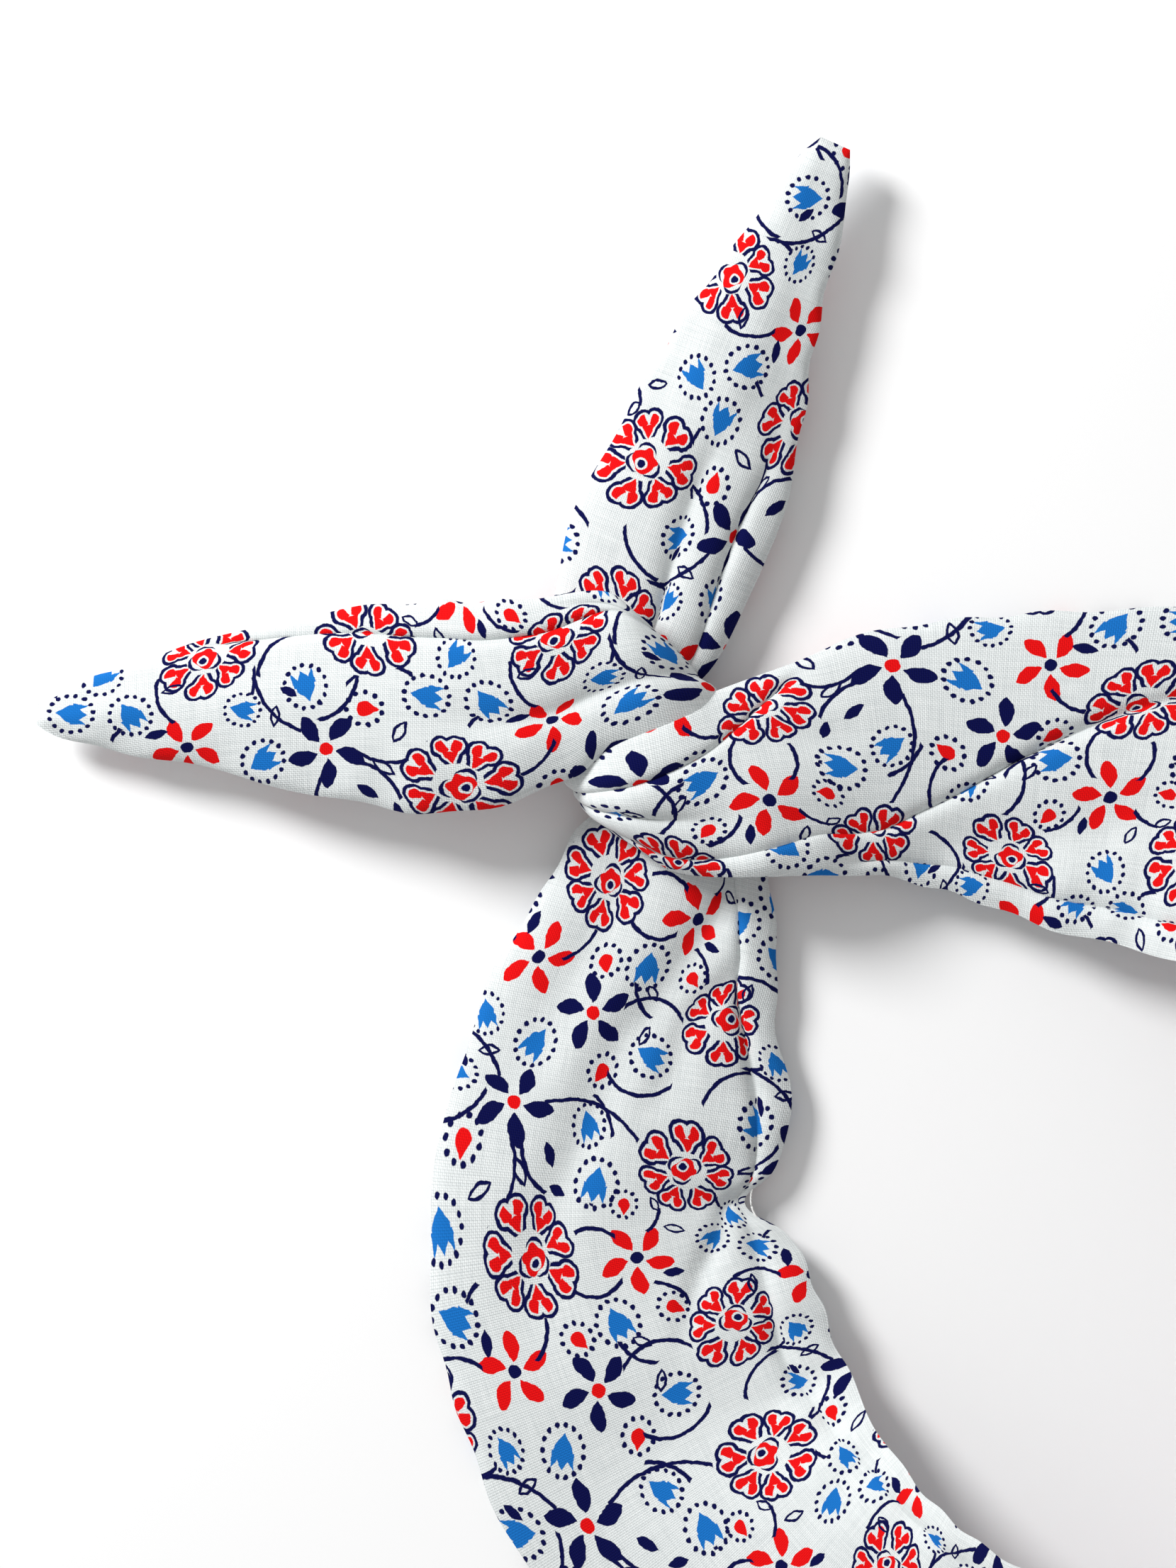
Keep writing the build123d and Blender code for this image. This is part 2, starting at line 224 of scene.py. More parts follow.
# Folds. Each row is how soft the fold is in millimetres, the part of the route that it is placed from, and
# the line it follows on the cloth: at each point, how far that is along the tube from the part's first
# station, its place across from -1 to 1, and the millimetres of cloth that the fold hides there.
# FRONT_FOLDS are on the panel that shows on the bands.
FRONT_FOLDS = [
    # fanning out on the lower band from under the knot
    (5.0, LOWER_BAND, [
        (-26, 0.3, 0), (-8, 0.34, 4), (5, 0.38, 5.5), (15, 0.2, 5.5), (26, 0.08, 5), (36, -0.1, 4.5),
        (56, -0.25, 3.5), (74, -0.42, 2), (92, -0.5, 0),
    ]),
    (3.6, LOWER_BAND, [(10, 0.66, 0), (17, 0.58, 3), (27, 0.36, 4), (38, 0.25, 2.5), (52, 0.12, 0)]),
    # the sharp pleat down the lower band's inner side
    (1.7, LOWER_BAND, [
        (-24, 0.6, 0), (-8, 0.6, 4), (5, 0.65, 6), (18, 0.68, 6.5), (28, 0.75, 6.5), (38, 0.76, 5),
        (60, 0.88, 5), (72, 0.95, 0),
    ]),
    # out of the pinch in its inner edge, and along that edge below it
    (2.8, LOWER_BAND, [(54, 0.92, 0), (63, 0.78, 3.5), (74, 0.58, 3.5), (86, 0.34, 2.5), (100, 0.18, 0)]),
    (2.0, LOWER_BAND, [
        (60, 0.95, 0), (74, 0.82, 4), (100, 0.70, 4.5), (118, 0.74, 4.5), (140, 0.8, 4), (170, 0.82, 2),
        (205, 0.8, 0),
    ]),
    (5.0, LOWER_BAND, [(-10, -0.55, 0), (10, -0.5, 2.5), (30, -0.55, 2.5), (56, -0.7, 0)]),
    # where the right band rolls over towards the knot, with one fold above and one below
    (2.4, RIGHT_BAND, [
        (-70, -0.8, 0), (-30, -0.6, 3), (-7, -0.37, 5), (8, -0.14, 6), (33, 0.38, 6.5), (50, 0.58, 6),
        (66, 0.72, 5), (84, 0.78, 4), (98, 0.8, 0),
    ]),
    (2.2, RIGHT_BAND, [
        (42, -0.95, 0), (54, -0.7, 4), (65, -0.47, 5.5), (74, -0.4, 6.5), (86, -0.34, 6), (98, -0.3, 0),
    ]),
    (1.9, RIGHT_BAND, [
        (-110, 0.6, 0), (-60, 0.74, 3), (-20, 0.78, 5), (10, 0.78, 6.5), (32, 0.8, 5), (52, 0.92, 0),
    ]),
    (6.0, RIGHT_BAND, [(-44, 0.1, 0), (-14, 0.24, 3), (14, 0.5, 4), (34, 0.7, 0)]),
    # gathered where it goes over the knot
    (2.6, RIGHT_BAND, [(62, 0.3, 0), (74, 0.22, 3), (84, 0.2, 5), (94, 0.2, 5), (106, 0.2, 0)]),
]
# BACK_FOLDS are on the panel that shows on the ears: three that run into the knot from the left ear, and
# two that run out of it along the upper ear
BACK_FOLDS = [
    (1.9, LEFT_EAR, [
        (18, -0.95, 0), (40, -0.74, 3), (70, -0.6, 6), (98, -0.56, 6.5), (110, -0.56, 6), (118, -0.46, 5),
        (128, -0.2, 3), (142, 0, 0),
    ]),
    (3.6, LEFT_EAR, [(66, 0.15, 0), (88, 0.3, 3), (104, 0.34, 4), (120, 0.3, 3), (136, 0.3, 0)]),
    (1.7, LEFT_EAR, [(94, -0.88, 0), (106, -0.82, 3), (120, -0.72, 4), (134, -0.6, 0)]),
    (3.4, UPPER_EAR, [
        (-26, 0.1, 0), (-10, 0.1, 3.5), (0, 0.05, 5), (17, 0, 5), (30, -0.05, 3.5), (50, 0.1, 0),
    ]),
    (2.4, UPPER_EAR, [
        (-26, 0.75, 0), (-10, 0.75, 4), (0, 0.7, 5.5), (17, 0.6, 5.5), (30, 0.6, 4), (48, 0.75, 0),
    ]),
]
FINE = 6  # places that are worked out across each face, because a fold is narrower than a face
FOLD_DEPTH = 0.52  # how deep a fold is for each millimetre that it hides
MOST_SQUEEZED = 1.3  # above 1 the cloth doubles back on itself in the fold
# The listed folds hide part of the cloth's width, and four small ones across the panel hide what is left
SMALL_FOLDS = 4
FIRST_SMALL, SMALL_GAP = -0.72, 0.48  # places across, from -1 to 1
SMALL_WANDER = 0.10  # how far they wander across along the tube
SMALL_SOFT = (2.6, 0.22)  # softness, and how much softer for each millimetre of width


def placed(folds):
    """The folds with their points measured from the left ear's tip."""
    return [(soft, [(s_of(part, 0) + point[0], *point[1:]) for point in line]) for soft, part, line in folds]


def across(panel_folds, s, half, cut, phase):
    """One ring of one panel: where each point of the cloth lies across the tube, and how deep in a fold."""
    v = np.linspace(-cut, cut, ACROSS + 1)
    fine = np.linspace(-cut, cut, ACROSS * FINE + 1)
    step = fine[1] - fine[0]
    hidden_all = max(2 * (cut - half), 0.0)
    parts = []
    for soft, line in panel_folds:
        along, places, hidden = zip(*line)
        if along[0] <= s <= along[-1]:
            parts.append((eased(s, along, places) * cut, eased(s, along, hidden), soft))
    named = sum(hid for _, hid, _ in parts)
    kept = min(1.0, hidden_all / max(named, 1e-6))
    spare = hidden_all - named * kept
    for k in range(SMALL_FOLDS):
        place = (FIRST_SMALL + SMALL_GAP * k) + SMALL_WANDER * math.sin(s / 31.0 + 2.1 * k + phase)
        share = (1 + 0.5 * math.sin(s / 23.0 + 1.7 * k + phase * 2)) / SMALL_FOLDS
        parts.append((place * cut, spare * share, SMALL_SOFT[0] + SMALL_SOFT[1] * cut * share))
    squeeze = np.zeros_like(fine)
    depth = np.zeros_like(fine)
    for centre, hid, soft in parts:
        bell = np.exp(-(((fine - centre) / soft) ** 2))
        bell_area = soft * math.sqrt(math.pi)
        squeeze += min(hid * kept, MOST_SQUEEZED * bell_area) / bell_area * bell
        depth += FOLD_DEPTH * hid * bell**0.8
    dx = 1 - squeeze
    x = np.concatenate([[0], np.cumsum((dx[1:] + dx[:-1]) / 2 * step)])
    x -= (x[0] + x[-1]) / 2
    x *= half / max(x[-1], 1e-6)
    return np.interp(v, fine, x), np.interp(v, fine, depth)


def eased(s, places, values):
    """The value at s of a curve through the values at these places, flat at each end."""
    i = min(max(int(np.searchsorted(places, s)) - 1, 0), len(places) - 2)
    gap = places[i + 1] - places[i]
    slope = [0.0] * len(places)
    for k in range(1, len(places) - 1):
        slope[k] = (values[k + 1] - values[k - 1]) / (places[k + 1] - places[k - 1])
    t = (s - places[i]) / gap
    a, b = values[i], values[i + 1]
    at = a + (b - a) * t * t * (3 - 2 * t) + gap * t * (1 - t) * ((1 - t) * slope[i] - t * slope[i + 1])
    return max(at, 0.0) if min(values) >= 0 else at


def wave(s, u, seed):
    """Slow unevenness of cloth that has been handled, from -1 to 1."""
    a = np.sin(s / 17.0 + 2.3 * u + seed) + 0.7 * np.sin(s / 9.1 - 3.1 * u + 1.3 * seed)
    b = 0.6 * np.sin(s / 5.3 + 4.7 * u + 2.1 * seed) * np.cos(s / 29.0 + seed)
    return (a + b) / 2.3


def pucker(s, length, uneven, drift):
    """Puckers along a sewn edge, from -1 to 1, whose spacing drifts along the tube."""
    return math.sin(s / length + uneven * math.sin(s / drift))


# These are in millimetres, but for the last
WIRE_ROOM, WIRE_REACH = 0.8, 2.4  # least height of a panel over the wire, and how far either side of it
WAVE = 0.35  # height of the cloth's slow unevenness
EDGE_RIPPLE, EDGE_WANDER = 0.5, 0.35  # how far the inner edge ripples up and down, and both edges in and out
PINCH, PINCH_LENGTH = 5.0, 9.0  # how deep the nick in the lower band's inner edge is, and half its length
TIP_CLOSES = 2.6  # the panels come together over this length at each end of the tube
BACK_PHASE = 2.6  # sets the back panel's small folds and waves apart from the front's


def build_panels():
    """The front and the back panel: points and places on the flat cloth, and each ring's own section."""
    pinch_s = s_of(LOWER_BAND, 5)
    result = []
    shapes = []
    for side, folds, phase in ((1, placed(FRONT_FOLDS), 0.0), (-1, placed(BACK_FOLDS), BACK_PHASE)):
        shape = np.empty((len(rings), 2, ACROSS + 1))
        grid = np.empty((len(rings), ACROSS + 1, 3))
        flat = np.empty((len(rings), ACROSS + 1, 2))
        for i, (ring, s) in enumerate(zip(rings, ring_s)):
            half, thick, cut = ring[3:6]
            x, depth = across(folds, s, half, cut, phase)
            u = x / half
            dome = np.clip(1 - u * u, 0, 1)
            crown = thick / 2 * dome**CROWN
            room = crown - np.maximum(0.1 * crown, WIRE_ROOM * np.exp(-((x / WIRE_REACH) ** 2)))
            sink = room * (1 - np.exp(-depth / np.maximum(room, 0.05)))
            rise = crown - sink + WAVE * wave(s, u, 3.0 + phase) * dome
            ripple = EDGE_RIPPLE * np.clip(u, 0, 1) ** 2 * pucker(s, 2.4, 1.5, 11.0)
            pinch = PINCH * u**2 * math.exp(-(((s - pinch_s) / PINCH_LENGTH) ** 2))
            across_x = x - np.where(u > 0, pinch, 0) + EDGE_WANDER * u**4 * pucker(s, 3.1, 2.0, 13.0)
            open_to = min(min(s, ring_s[-1] - s) / TIP_CLOSES, 1.0)
            closing = math.sqrt(1 - (1 - open_to) ** 2)
            height = (side * rise + ripple * np.clip(1 - u**8, 0, 1)) * closing
            grid[i] = ring[:3] + WIDTH[i] * across_x[:, None] + OUT[i] * height[:, None]
            shape[i] = across_x, height
            flat[i, :, 0] = np.linspace(-cut, cut, ACROSS + 1)
            flat[i, :, 1] = s
        result.append((grid, flat))
        shapes.append(shape)
    return result, shapes


BESIDE = 1.3  # how far either side of the line the cloth is looked at
SMOOTHINGS = 4


def between(shapes, place):
    """A line inside the tube, half way between the panels, place(half width) across from its middle."""
    points = []
    for i, ring in enumerate(rings):
        x = place(ring[3])
        near = [abs(shape[i, 0] - x) < BESIDE for shape in shapes]
        low = min(shapes[0][i, 1][near[0]], default=0.0)
        high = max(shapes[1][i, 1][near[1]], default=0.0)
        points.append(ring[:3] + WIDTH[i] * x + OUT[i] * (low + high) / 2)
    smooth = np.array(points)
    for _ in range(SMOOTHINGS):
        smooth[1:-1] = (smooth[:-2] + 2 * smooth[1:-1] + smooth[2:]) / 4
    return smooth


# ---------------------------------------------------------------------------------------------
# The cloth: plain-woven cotton with a small flower print that repeats over TILE millimetres

TILE = (60.0, 66.0)
THREAD = 0.37  # from one thread to the next

# x, y, turn in degrees and size of each motif in the repeat
PEONIES = [(14, 14, 20, 1.0), (44, 30, 205, 0.96), (18, 51, 110, 0.92)]
NAVY_STARS = [(38, 7, 10, 1.0), (50, 54, 45, 0.95)]
RED_STARS = [(4, 33, 30, 0.95), (36.5, 46.5, 70, 0.9)]
LEAVES = [
    (27, 25.5, 80, 0.9), (19.5, 31.5, 140, 0.85), (28.5, 36.5, 30, 0.9), (57, 18.5, 100, 0.95),
    (53.5, 8.5, 60, 0.85), (26, 3, 200, 0.9), (40, 61, 120, 0.9), (57.5, 44, 80, 0.92), (3.5, 60, 20, 0.9),
    (30, 57.5, 75, 0.72),
]
DROPS = [(49.5, 44.5, 60, 0.9), (30, 14, 90, 1.0), (8, 44, 40, 0.85), (54, 64, 120, 0.95), (2.5, 22, 90, 0.8)]
OPEN_LEAVES = [
    (34, 20.5, 150, 1.0), (41, 17.5, 60, 1.0), (61.5, 56.5, 110, 0.9), (60.5, 48.5, 40, 0.85),
    (12, 27.8, 20, 0.9), (24, 44.5, 100, 0.9), (8.5, 22.0, 60, 0.8), (31.5, 63.5, 170, 0.9),
]
SOLID_DROPS = [
    (33, 41, 100, 1.0), (46, 14.5, 60, 1.0), (10, 37.5, 10, 0.9), (49, 20, 20, 0.9), (27, 66, 60, 0.8),
]
# from x, y to x, y, and how far the stem bows out to its left
STEMS = [
    (23.5, 12.5, 32.5, 5.5, 2.0), (38.5, 13.0, 36.0, 25.5, -2.6), (45.0, 39.5, 41.0, 46.0, -1.0),
    (51.5, 36.5, 60.5, 36.5, 2.0), (6.5, 28.0, 9.5, 22.5, 0.8), (6.0, 38.5, 11.5, 46.0, -1.6),
    (21.0, 42.0, 31.0, 44.5, -1.6), (23.5, 59.5, 34.5, 68.5, -2.0), (55.5, 52.0, 69.0, 52.5, -3.0),
    (43.5, 6.0, 64.0, 9.5, -3.4), (46.5, 20.5, 40.5, 13.5, -1.2),
]


class Net:
    """A node tree, with a short call for each kind of sum. Numbers and sockets are both taken."""

    def __init__(self, tree):
        self.tree = tree

    def put(self, value, node, place):
        """Gives one of a node's inputs a number or a socket."""
        if isinstance(value, bpy.types.NodeSocket):
            self.tree.links.new(value, node.inputs[place])
        else:
            node.inputs[place].default_value = value

    def node(self, kind, inputs, **settings):
        made = self.tree.nodes.new(kind)
        for key, value in settings.items():
            setattr(made, key, value)
        for place, value in inputs.items():
            self.put(value, made, place)
        return made

    def sum(self, operation, *values, clamp=False):
        inputs = {i: v for i, v in enumerate(values)}
        return self.node("ShaderNodeMath", inputs, operation=operation, use_clamp=clamp).outputs[0]

    def vector(self, operation, *values):
        inputs = {i: v for i, v in enumerate(values)}
        made = self.node("ShaderNodeVectorMath", inputs, operation=operation)
        return made.outputs["Value" if operation in ("LENGTH", "DOT_PRODUCT") else "Vector"]

    def scaled(self, vector, times):
        inputs = {0: vector, "Scale": times}
        return self.node("ShaderNodeVectorMath", inputs, operation="SCALE").outputs[0]

    def repeated(self, p, middle):
        """The place from the nearest of all the repeats of a middle."""
        x, y = TILE[0] / 2, TILE[1] / 2
        return self.vector("WRAP", self.vector("SUBTRACT", p, (*middle, 0)), (x, y, 1), (-x, -y, -1))

    def noise(self, vector, scale, detail):
        return self.node("ShaderNodeTexNoise", {"Vector": vector, "Scale": scale, "Detail": detail})

    def split(self, vector):
        made = self.node("ShaderNodeSeparateXYZ", {0: vector})
        return made.outputs[0], made.outputs[1]

    def join(self, x, y):
        return self.node("ShaderNodeCombineXYZ", {0: x, 1: y}).outputs[0]

    def least(self, *values):
        found = values[0]
        for value in values[1:]:
            found = self.sum("MINIMUM", found, value)
        return found

    def most(self, *values):
        found = values[0]
        for value in values[1:]:
            found = self.sum("MAXIMUM", found, value)
        return found

    def cover(self, distance, soft=0.12):
        """1 inside a shape and 0 outside it, from its signed distance in millimetres."""
        return self.sum("MULTIPLY_ADD", distance, -1 / soft, 0.5, clamp=True)

    def mix(self, share, a, b):
        """A colour between two others, each a socket or red, green and blue."""
        made = self.node("ShaderNodeMix", {0: share}, data_type="RGBA")
        for place, value in ((6, a), (7, b)):
            self.put(value if isinstance(value, bpy.types.NodeSocket) else (*value, 1), made, place)
        return made.outputs[2]


# The shapes of the print are signed distances in millimetres: below 0 inside a shape, above 0 outside it


def near_motif(net, p, places):
    """The place on the cloth as the nearest of a kind of motif sees it."""
    best = reach = None
    for x, y, turn, size in places:
        around = {"Vector": net.repeated(p, (x, y)), "Angle": -math.radians(turn)}
        turned = net.node("ShaderNodeVectorRotate", around, rotation_type="Z_AXIS").outputs[0]
        local = net.scaled(turned, 1 / size)
        length = net.vector("LENGTH", local)
        if best is None:
            best, reach = local, length
            continue
        closer = net.sum("LESS_THAN", length, reach)
        mixed = net.node("ShaderNodeMix", {0: closer, 4: best, 5: local}, data_type="VECTOR")
        best, reach = mixed.outputs[1], net.sum("MINIMUM", length, reach)
    return best


def petals(net, local, count, turn=0.0):
    """Folds the plane round a motif's middle into one petal that lies along x. Gives x, y and the angle."""
    x, y = net.split(local)
    angle = net.sum("ARCTAN2", y, x)
    sector = math.pi / count
    folded = net.sum("WRAP", net.sum("ADD", angle, turn), sector, -sector)
    reach = net.vector("LENGTH", local)
    along = net.sum("MULTIPLY", reach, net.sum("COSINE", folded))
    return along, net.sum("MULTIPLY", reach, net.sum("SINE", folded)), angle


def circle(net, x, y, at_x, at_y, radius):
    reach = net.vector("LENGTH", net.join(net.sum("SUBTRACT", x, at_x), net.sum("SUBTRACT", y, at_y)))
    return net.sum("SUBTRACT", reach, radius)


def wedge(net, across, x, slope, half, straighten):
    """Inside where across is below half + slope * x. straighten makes it a distance square to the edge."""
    beyond = net.sum("SUBTRACT", across, net.sum("MULTIPLY_ADD", x, slope, half))
    return net.sum("MULTIPLY", beyond, straighten)


def peony(net, p):
    """Distances to the navy lines and the red of the large flower, and how far its middle is."""
    local = near_motif(net, p, PEONIES)
    x, y, angle = petals(net, local, 7, 0.3)
    # the flower is 10 % longer one way than the other
    swell = net.sum("MULTIPLY_ADD", net.sum("SINE", net.sum("MULTIPLY_ADD", angle, 2.0, 0.6)), 0.10, 1.0)
    x = net.sum("DIVIDE", x, swell)
    across = net.sum("ABSOLUTE", y)
    # a heart-shaped petal: two lobes side by side, on a wedge that narrows towards the middle
    lobes = circle(net, x, across, 7.5, 1.15, 2.25)
    petal = net.least(lobes, net.most(wedge(net, across, x, 0.60, -1.15, 0.86), net.sum("SUBTRACT", x, 7.6)))
    outline = net.sum("SUBTRACT", net.sum("ABSOLUTE", net.sum("ADD", petal, 0.34)), 0.34)
    open_end = net.sum("SUBTRACT", 4.0, x)
    notch = net.sum("SUBTRACT", net.sum("MULTIPLY_ADD", x, 0.45, -2.95), across)
    fill = net.most(net.sum("ADD", petal, 1.05), notch)
    # the middle, off centre: three navy crescents on a red patch, which has a navy dot in a white ring
    heart = net.vector("ADD", local, (0.7, 0.2, 0))
    reach = net.vector("LENGTH", heart)
    u, v, _ = petals(net, heart, 3, 0.9)
    inner = net.sum("MULTIPLY", circle(net, u, v, 0.85, 0.0, 2.0), -1.0)
    crescents = net.most(circle(net, u, v, 1.7, 0.0, 1.85), inner)
    wobble = net.sum("MULTIPLY", net.sum("SINE", net.sum("MULTIPLY", angle, 4.0)), 0.3)
    core = net.sum("SUBTRACT", net.sum("ADD", reach, wobble), 2.3)
    middle = net.vector("LENGTH", net.vector("ADD", local, (1.3, 0.7, 0)))
    dot = net.sum("SUBTRACT", middle, 0.75)
    red = net.least(fill, net.most(core, net.sum("SUBTRACT", 1.15, middle)))
    return net.least(net.most(outline, open_end), crescents, dot), red, net.vector("LENGTH", local)


def star(net, p, places):
    """Distances to the five petals and the dot of the small flower."""
    from_middle, to_tip, fullness, bend, dot = 1.7, 7.5, 5.6, 0.030, 1.3
    local = near_motif(net, p, places)
    x, y, _ = petals(net, local, 5)
    span = {"Value": x, "From Min": from_middle, "From Max": to_tip}
    along = net.node("ShaderNodeMapRange", span, clamp=True).outputs[0]
    rest = net.sum("POWER", net.sum("SUBTRACT", 1.0, along), 0.75)
    width = net.sum("MULTIPLY", net.sum("MULTIPLY", along, rest), fullness)
    bow = net.sum("MULTIPLY", net.sum("POWER", net.sum("SUBTRACT", x, 1.0), 2.0), bend)
    bent = net.sum("ABSOLUTE", net.sum("ADD", y, bow))
    leaf = net.sum("ADD", net.sum("SUBTRACT", bent, width), 0.1)
    return leaf, net.sum("SUBTRACT", net.vector("LENGTH", local), dot)


def ring_of_dots(net, local, count, reach, stretch):
    """Small dots round a motif, on a ring that is longer along x by stretch."""
    longer = net.vector("MULTIPLY", local, (1 / stretch, 1.0, 1.0))
    x, y, _ = petals(net, longer, count, 0.2)
    return net.sum("SUBTRACT", net.vector("LENGTH", net.join(net.sum("SUBTRACT", x, reach), y)), 0.5)


def tulip_leaf(net, p):
    """Distances to the blue leaf with three points and to the dots round it, and how far its middle is."""
    local = near_motif(net, p, LEAVES)
    x, y = net.split(local)
    across = net.sum("ABSOLUTE", y)
    body = net.sum("SUBTRACT", net.vector("LENGTH", local), 2.0)
    foot = net.most(wedge(net, across, x, 0.72, 2.45, 0.8), net.sum("ADD", x, 0.6))
    top = net.sum("MULTIPLY_ADD", net.sum("ABSOLUTE", net.sum("SUBTRACT", across, 1.15)), 1.5, 1.65)
    points = net.sum("MULTIPLY", net.sum("SUBTRACT", x, top), 0.6)
    crown = net.most(points, net.sum("SUBTRACT", across, 2.35), net.sum("MULTIPLY", x, -1.0))
    dots = ring_of_dots(net, net.vector("ADD", local, (0.1, 0, 0)), 15, 4.25, 1.1)
    return net.least(body, foot, crown), dots, net.vector("LENGTH", local)


def dotted_drop(net, p):
    """Distances to the red drop and to the dots round it."""
    local = near_motif(net, p, DROPS)
    x, y = net.split(local)
    across = net.sum("ABSOLUTE", y)
    body = net.sum("SUBTRACT", net.vector("LENGTH", local), 1.45)
    tip = net.most(wedge(net, across, x, -0.62, 1.75, 0.85), net.sum("MULTIPLY_ADD", x, -1.0, 0.6))
    return net.least(body, tip), ring_of_dots(net, local, 11, 3.1, 1.08)


def pointed(net, p, places, length, width):
    """A leaf with two points. length and width are half of its own."""
    x, y = net.split(near_motif(net, p, places))
    share = net.sum("POWER", net.sum("DIVIDE", x, length), 2.0)
    return net.sum("SUBTRACT", net.sum("ABSOLUTE", y), net.sum("MULTIPLY_ADD", share, -width, width))


STEM_HALF = 0.38  # half a stem's thickness


def stems(net, p):
    """The thin curved stems: each is an arc of a circle, cut off square to its chord at both ends."""
    found = []
    for x0, y0, x1, y1, bow in STEMS:
        a, b = np.array([x0, y0]), np.array([x1, y1])
        half = np.linalg.norm(b - a) / 2
        chord = (b - a) / (2 * half)
        left = np.array([-chord[1], chord[0]]) * (1 if bow > 0 else -1)
        radius = (half**2 + bow**2) / (2 * abs(bow))
        local = net.repeated(p, (a + b) / 2 + left * abs(bow))
        reach = net.vector("LENGTH", net.vector("ADD", local, (*(left * radius), 0)))
        line = net.sum("SUBTRACT", net.sum("ABSOLUTE", net.sum("SUBTRACT", reach, radius)), STEM_HALF)
        along = net.sum("ABSOLUTE", net.vector("DOT_PRODUCT", local, (*chord, 0)))
        found.append(net.most(line, net.sum("SUBTRACT", along, half)))
    return net.least(*found)


def weave(net, threads):
    """Height of a plain weave, from 0 to 1, with threads in thread widths."""
    x, y = net.split(threads)
    across_warp = net.sum("ABSOLUTE", net.sum("SINE", net.sum("MULTIPLY", x, math.pi)))
    across_weft = net.sum("ABSOLUTE", net.sum("SINE", net.sum("MULTIPLY", y, math.pi)))
    turn = net.sum("PINGPONG", net.sum("ADD", net.sum("FLOOR", x), net.sum("FLOOR", y)), 1.0)
    warp = net.sum("MULTIPLY", across_warp, net.sum("MULTIPLY_ADD", across_weft, 0.4, 0.6))
    weft = net.sum("MULTIPLY", across_weft, net.sum("MULTIPLY_ADD", across_warp, 0.4, 0.6))
    return net.node("ShaderNodeMix", {0: turn, 2: warp, 3: weft}, data_type="FLOAT").outputs[0]


# The cloth's colour moves towards the second, darker colour where the weave is low and where the yarn is
# darker: the first is painted shade between the threads, the second is the yarn's own uneven tone.
CLOTH_LIGHT, CLOTH_DARK_YARN_AND_SHADE = (0.80, 0.83, 0.825), (0.44, 0.48, 0.49)
NAVY, RED, BLUE = (0.001, 0.002, 0.058), (0.74, 0.003, 0.004), (0.008, 0.150, 0.50)
PRINT_NUDGE = 0.7  # how unevenly the print lies, in millimetres
PEONY_CLEAR, LEAF_CLEAR = 9.9, 3.6  # a stem stops this far from the middle of a flower or a leaf
SLUB = (2.7, 0.12)  # how often the yarn's thickness changes from thread to thread and along one, per mm
WEAVE_SHADE, SLUB_TONE = 0.30, 0.55  # how much the weave's height lightens the threads' tops, leaving painted shade between them, and how much the yarn's own uneven tone shows in the cloth's colour
GROUND_AND_GAP_SHADE = 0.012  # how far the colour between the threads goes towards the cloth's darker colour: painted shade in the weave's gaps, and the cloth's ground showing through the ink


def new_material(name):
    """A material, its shader, and the net that adds nodes to it."""
    material = bpy.data.materials.new(name)
    material.use_nodes = True
    return material, material.node_tree.nodes["Principled BSDF"], Net(material.node_tree)


